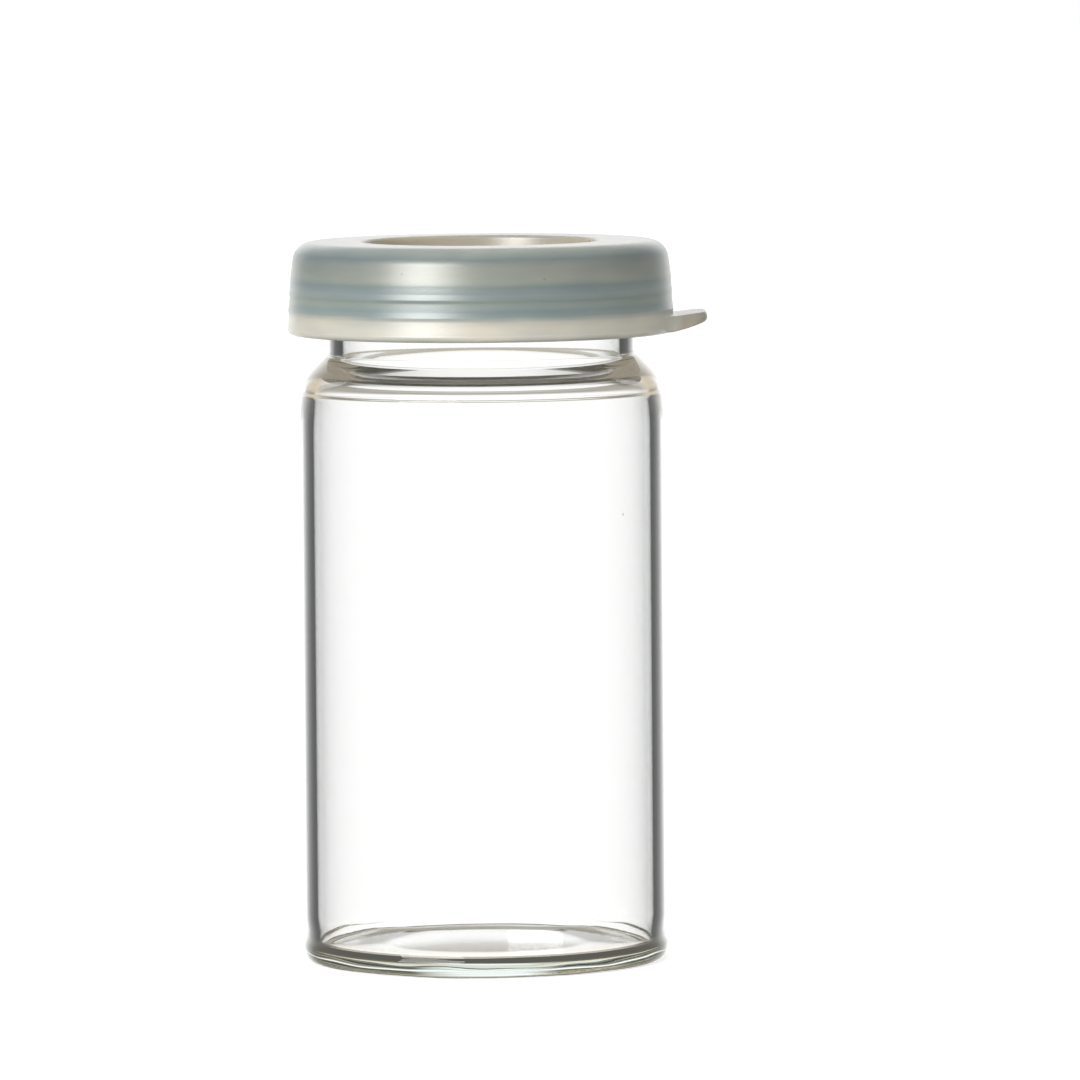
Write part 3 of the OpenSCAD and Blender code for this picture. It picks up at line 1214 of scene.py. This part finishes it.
@dataclass
class Studio:
    """Pale floor, white backdrop, soft light and the camera.

    The backdrop has other colours for each kind of light, fitted one by one: seen where it came through glass,
    mirrored times behind where it was mirrored off a surface, trapped where it was mirrored inside glass, and soft
    for matt surfaces. Seen, mirrored and trapped go by the ray's upward part, behind by its backward part and soft by
    its sideways part. The dark middle of trapped draws the dark lines down the vial's sides, and a trapped ray within
    bright_back finds bright_colour. On the floor, light that passed through glass more than foot_passes times finds
    floor_seen, and other light from the glass foot_light.
    """

    floor_half: float = 3.0
    floor_drop: float = 0.02
    seen: Stops = ((0.0, (1.10, 1.10, 1.09)), (0.50, (1.20, 1.20, 1.19)), (0.55, (1.14, 1.14, 1.13)),
                   (0.59, (0.50, 0.48, 0.44)), (0.65, (0.20, 0.18, 0.15)), (1.0, (0.16, 0.15, 0.13)))
    foot_light: Colour = (0.72, 0.65, 0.50)
    foot_passes: float = 3.5
    floor_seen: Colour = (1.20, 1.20, 1.19)
    floor_glow: Colour = (0.46, 0.46, 0.46)
    floor_matt: Colour = (0.86, 0.86, 0.86)
    bright_back: tuple[float, float] = (0.955, 0.990)
    bright_colour: Colour = (1.1, 1.1, 1.1)
    aim_z: float = 30.0
    soft: Stops = ((0.0, (0.62, 0.65, 0.69)), (1.0, (0.95, 0.92, 0.86)))
    mirrored: Stops = ((0.0, (0.60, 0.58, 0.54)), (0.35, (0.95, 0.95, 0.94)), (0.55, (1.0, 1.0, 1.0)),
                       (1.0, (0.60, 0.62, 0.64)))
    behind: Stops = ((0.0, (0.55, 0.55, 0.55)), (0.20, (0.40, 0.40, 0.40)), (0.82, (0.32, 0.32, 0.32)),
                     (0.885, (0.50, 0.50, 0.50)), (0.925, (1.0, 1.0, 1.0)), (0.97, (1.5, 1.5, 1.5)))
    trapped: Stops = ((0.0, (0.60, 0.55, 0.45)), (0.28, (0.52, 0.49, 0.42)), (0.33, (0.38, 0.34, 0.26)),
                      (0.365, (0.07, 0.074, 0.072)), (0.535, (0.06, 0.064, 0.062)), (0.56, (0.28, 0.23, 0.16)),
                      (0.585, (0.60, 0.50, 0.33)), (0.64, (0.78, 0.67, 0.48)), (0.72, (0.92, 0.90, 0.86)),
                      (1.0, (0.60, 0.62, 0.64)))
    lamps: tuple[Lamp, ...] = (
        Lamp("key_softbox", -36.0, 16.0, 0.60, 0.44, 0.25, 1.75, (1.0, 0.985, 0.955)),
        Lamp("key_middle", -36.0, 16.0, 0.60, 0.21, 0.25, 1.5, (1.0, 0.985, 0.955)),
    )
    camera: StudioCamera = field(default_factory=StudioCamera)

    def light_world(self, backdrop: Tree) -> None:
        """Sets the world: white where it is seen, soft for matt surfaces and dim for light mirrored in the glass.

        Args:
            backdrop: The group that gives the backdrop's colour.
        """
        world = bpy.data.worlds.new("studio_world")
        world.use_nodes = True
        tree = world.node_tree
        tree.nodes.clear()
        direction = parted(tree, tree.nodes.new("ShaderNodeTexCoord").outputs["Generated"])
        aside, back, up = (spread(tree, direction[axis], -1.0, 1.0) for axis in "XYZ")
        gloss = mixed(tree, 1.0, ramp(tree, self.mirrored, up), ramp(tree, self.behind, back), "MULTIPLY")
        bright = spread(tree, direction["Y"], *self.bright_back)
        trapped = mixed(tree, bright, ramp(tree, self.trapped, up), self.bright_colour)
        colours = placed(tree, backdrop, {**ray_facts(tree), "Clear": (1.0, 1.0, 1.0),
                                          "Seen": ramp(tree, self.seen, up), "Soft": ramp(tree, self.soft, aside),
                                          "Mirrored": gloss, "Trapped": trapped})
        shader = add(tree, "ShaderNodeBackground", {"Color": colours["Colour"]})
        add(tree, "ShaderNodeOutputWorld", {"Surface": shader.outputs["Background"]})
        bpy.context.scene.world = world

    def lay_floor(self, backdrop: Tree) -> Thing:
        """Lays the pale floor, which keeps the object's shadow and shows white all round it.

        Args:
            backdrop: The group that gives the backdrop's colour.

        Returns:
            The floor's object.
        """
        mesh = bpy.data.meshes.new("floor")
        half, z = self.floor_half, -self.floor_drop * MM
        mesh.from_pydata([(-half, -half, z), (half, -half, z), (half, half, z), (-half, half, z)], [], [(0, 1, 2, 3)])
        floor = bpy.data.objects.new("floor", mesh)
        bpy.context.scene.collection.objects.link(floor)
        material, tree, output = empty_material("pale_floor")
        facts = ray_facts(tree)
        dark = (0.0, 0.0, 0.0)
        thin = sums(tree, "LESS_THAN", facts["Through"], self.foot_passes)
        glow = placed(tree, backdrop, {**facts, "Clear": self.floor_glow, "Mirrored": dark, "Trapped": dark,
                                       "Seen": mixed(tree, thin, self.floor_seen, self.foot_light), "Soft": dark})
        matt = add(tree, "ShaderNodeBsdfDiffuse", {"Color": self.floor_matt}).outputs[0]
        light = add(tree, "ShaderNodeEmission", {"Color": glow["Colour"]}).outputs[0]
        gone = tree.nodes.new("ShaderNodeBsdfTransparent").outputs[0]
        both = add(tree, "ShaderNodeAddShader", {0: matt, 1: light}).outputs[0]
        through, mirrored = (sums(tree, "MINIMUM", facts[kind], 1.0) for kind in ("Through", "Glossy"))
        plain = add(tree, "ShaderNodeMixShader", {0: through, 1: both, 2: light}).outputs[0]
        either = add(tree, "ShaderNodeMixShader", {0: mirrored, 1: plain, 2: gone}).outputs[0]
        fill(tree, output, {"Surface": either})
        mesh.materials.append(material)
        return floor

    def build(self) -> None:
        """Builds the whole studio and sets the view transform."""
        backdrop = backdrop_group()
        self.light_world(backdrop)
        self.lay_floor(backdrop)
        aim = Vector((0.0, 0.0, self.aim_z * MM))
        for lamp in self.lamps:
            lamp.place(aim)
            log.info("lamp %s in place", lamp.name)
        self.camera.place()
        bpy.context.scene.view_settings.view_transform = "Standard"


def main() -> None:
    """Builds the studio, the vial and the cap."""
    logging.basicConfig(level=logging.INFO, format="%(name)s: %(message)s")
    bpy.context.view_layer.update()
    Studio().build()
    specks, grain = speck_group(), grain_group()
    for piece in (GlassVial().build(specks), SnapCap().build(grain, specks)):
        log.info("%s: %d faces", piece.name, len(piece.data.polygons))


if __name__ == "__main__":
    main()
